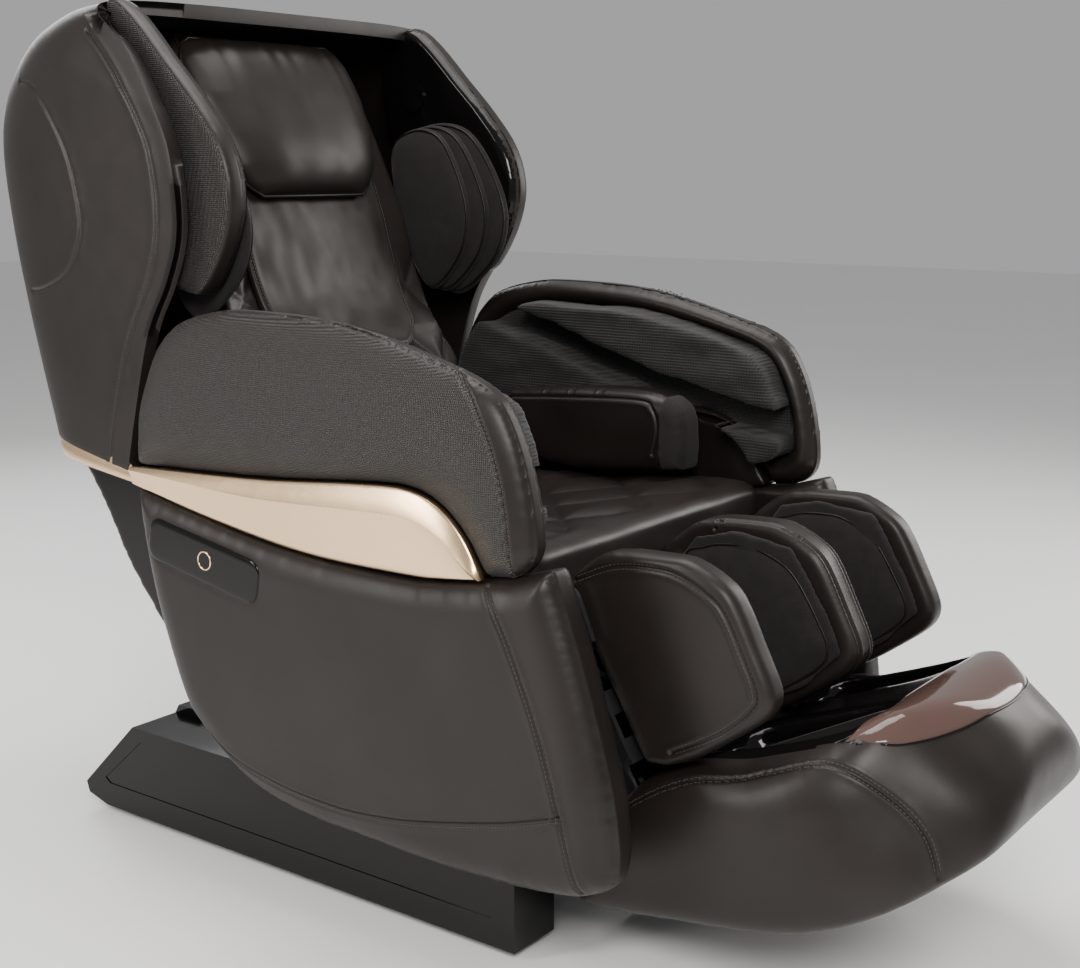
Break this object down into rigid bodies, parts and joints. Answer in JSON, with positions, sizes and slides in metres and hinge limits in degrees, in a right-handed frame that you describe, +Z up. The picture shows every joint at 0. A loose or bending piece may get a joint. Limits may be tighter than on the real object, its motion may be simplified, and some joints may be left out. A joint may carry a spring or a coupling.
{
  "type": "massage chair",
  "caption": "Reclining massage chair with a wrap-round hood, head wings, padded seat, forearm slots in the armrests, calf channels and foot wells on low base rails.",
  "frame": {"origin": "on the floor under the middle of the chair's overall box", "axes": "+Z up, -Y towards the feet (the way the sitter faces), +X to the sitter's left"},
  "size_m": [0.8, 1.6051, 1.288],
  "materials": {
    "black_gloss": "glossy",
    "black_plastic": "matt",
    "black_rubber": "matt",
    "gold_metal": "satin champagne",
    "knit_fabric": "fine knit",
    "leather": "smooth satin leather",
    "steel": "satin",
    "textured_leather": "fine woven embossing"
  },
  "bodies": {
    "base": {"base_frame": "steel", "base_cover_right": "black_gloss", "base_cover_left": "black_gloss", "base_rear_cover": "black_gloss", "floor_pads": "black_rubber", "power_inlet": "black_gloss", "control_box": "black_plastic", "tilt_actuator_tube": "steel"},
    "wheels": {"transport_wheels": "black_rubber"},
    "rocker": {"power_switch": "black_plastic"},
    "tilt_rod": {"tilt_actuator_rod": "steel"},
    "chair": {"seat_frame": "steel", "pivot_pins": "steel", "side_panel_right": "leather", "side_panel_left": "leather", "side_trim_right": "gold_metal", "side_trim_left": "gold_metal", "side_plates": "black_gloss", "armrest_right": "textured_leather", "armrest_left": "textured_leather", "arm_lining_right": "knit_fabric", "arm_lining_left": "knit_fabric", "hip_pad_right": "leather", "hip_pad_left": "leather", "seat_cushion": "leather", "seat_pan": "black_plastic", "knee_flap": "knit_fabric", "air_pump": "black_plastic", "recline_actuator_tube": "steel", "leg_actuator_tube": "steel"},
    "recline_rod": {"recline_actuator_rod": "steel"},
    "leg_rod": {"leg_actuator_rod": "steel"},
    "backrest": {"back_frame": "steel", "guide_rails": "steel", "hood": "leather", "hood_trim": "gold_metal", "wing_right": "black_gloss", "wing_left": "black_gloss", "shoulder_airbags_right": "knit_fabric", "shoulder_airbags_left": "knit_fabric", "back_pad": "leather", "back_flap": "leather", "speakers": "black_gloss", "rear_cover": "black_gloss"},
    "pillow": {"head_pillow": "leather"},
    "carriage": {"carriage": "black_plastic"},
    "knead_right": {"knead_arm_right": "steel"},
    "knead_left": {"knead_arm_left": "steel"},
    "upper_right": {"upper_roller_right": "black_rubber"},
    "upper_left": {"upper_roller_left": "black_rubber"},
    "lower_right": {"lower_roller_right": "black_rubber"},
    "lower_left": {"lower_roller_left": "black_rubber"},
    "leg_rest": {"leg_frame": "steel", "calf_shell": "leather", "calf_lining": "knit_fabric"},
    "foot_unit": {"foot_shell": "leather", "foot_liner": "knit_fabric", "foot_visor": "black_gloss", "slide_tubes": "steel"},
    "sole_rollers": {"sole_rollers": "black_rubber"}
  },
  "joints": [
    {"name": "zero_gravity_tilt", "type": "hinge", "parent": "base", "child": "chair", "pos_m": [0, 0.099, 0.19], "axis": [-1, 0, 0], "range_deg": [0, 10]},
    {"name": "backrest_recline", "type": "hinge", "parent": "chair", "child": "backrest", "pos_m": [0, 0.139, 0.48], "axis": [-1, 0, 0], "range_deg": [0, 32]},
    {"name": "leg_rest_lift", "type": "hinge", "parent": "chair", "child": "leg_rest", "pos_m": [0, -0.301, 0.505], "axis": [-1, 0, 0], "range_deg": [0, 52]},
    {"name": "leg_rest_extension", "type": "slide", "parent": "leg_rest", "child": "foot_unit", "axis": [0, -0.5, -0.866], "range_m": [0, 0.07]},
    {"name": "carriage_travel", "type": "slide", "parent": "backrest", "child": "carriage", "axis": [0, 0.4384, 0.8988], "range_m": [0, 0.4]},
    {"name": "kneading_right", "type": "hinge", "parent": "carriage", "child": "knead_right", "pos_m": [0, 0.41868, 0.74852], "axis": [1, 0, 0], "range_deg": [-12, 12]},
    {"name": "kneading_left", "type": "hinge", "parent": "carriage", "child": "knead_left", "pos_m": [0, 0.41868, 0.74852], "axis": [1, 0, 0], "range_deg": [-12, 12]},
    {"name": "upper_roller_right_spin", "type": "hinge", "parent": "knead_right", "child": "upper_right", "pos_m": [0, 0.40737, 0.80744], "axis": [1, 0, 0], "continuous": true},
    {"name": "upper_roller_left_spin", "type": "hinge", "parent": "knead_left", "child": "upper_left", "pos_m": [0, 0.40737, 0.80744], "axis": [1, 0, 0], "continuous": true},
    {"name": "lower_roller_right_spin", "type": "hinge", "parent": "knead_right", "child": "lower_right", "pos_m": [0, 0.36528, 0.72116], "axis": [1, 0, 0], "continuous": true},
    {"name": "lower_roller_left_spin", "type": "hinge", "parent": "knead_left", "child": "lower_left", "pos_m": [0, 0.36528, 0.72116], "axis": [1, 0, 0], "continuous": true},
    {"name": "head_pillow_flip", "type": "hinge", "parent": "backrest", "child": "pillow", "pos_m": [0, 0.53374, 1.23535], "axis": [-1, 0, 0], "range_deg": [0, 25]},
    {"name": "sole_rollers_spin", "type": "hinge", "parent": "foot_unit", "child": "sole_rollers", "pos_m": [0, -0.6619, 0.1799], "axis": [1, 0, 0], "continuous": true},
    {"name": "transport_wheels_spin", "type": "hinge", "parent": "base", "child": "wheels", "pos_m": [0, 0.559, 0.035], "axis": [1, 0, 0], "continuous": true},
    {"name": "power_switch_rock", "type": "hinge", "parent": "base", "child": "rocker", "pos_m": [-0.03, 0.553, 0.08], "axis": [1, 0, 0], "range_deg": [-8, 8]},
    {"name": "tilt_rod_slide", "type": "slide", "parent": "base", "child": "tilt_rod", "axis": [0, 0.5, 0.866], "range_m": [-0.002, 0.046]},
    {"name": "recline_rod_slide", "type": "slide", "parent": "chair", "child": "recline_rod", "axis": [0, -1, 0], "range_m": [-0.002, 0.066]},
    {"name": "leg_rod_slide", "type": "slide", "parent": "chair", "child": "leg_rod", "axis": [0, -0.866, 0.5], "range_m": [-0.01, 0.09]}
  ],
  "couplings": [
    {"joint": "tilt_rod_slide", "follows": "zero_gravity_tilt", "m_per_rad": 0.24},
    {"joint": "recline_rod_slide", "follows": "backrest_recline", "m_per_rad": 0.10858},
    {"joint": "leg_rod_slide", "follows": "leg_rest_lift", "m_per_rad": 0.08838},
    {"joint": "kneading_left", "follows": "kneading_right", "ratio": -1}
  ]
}
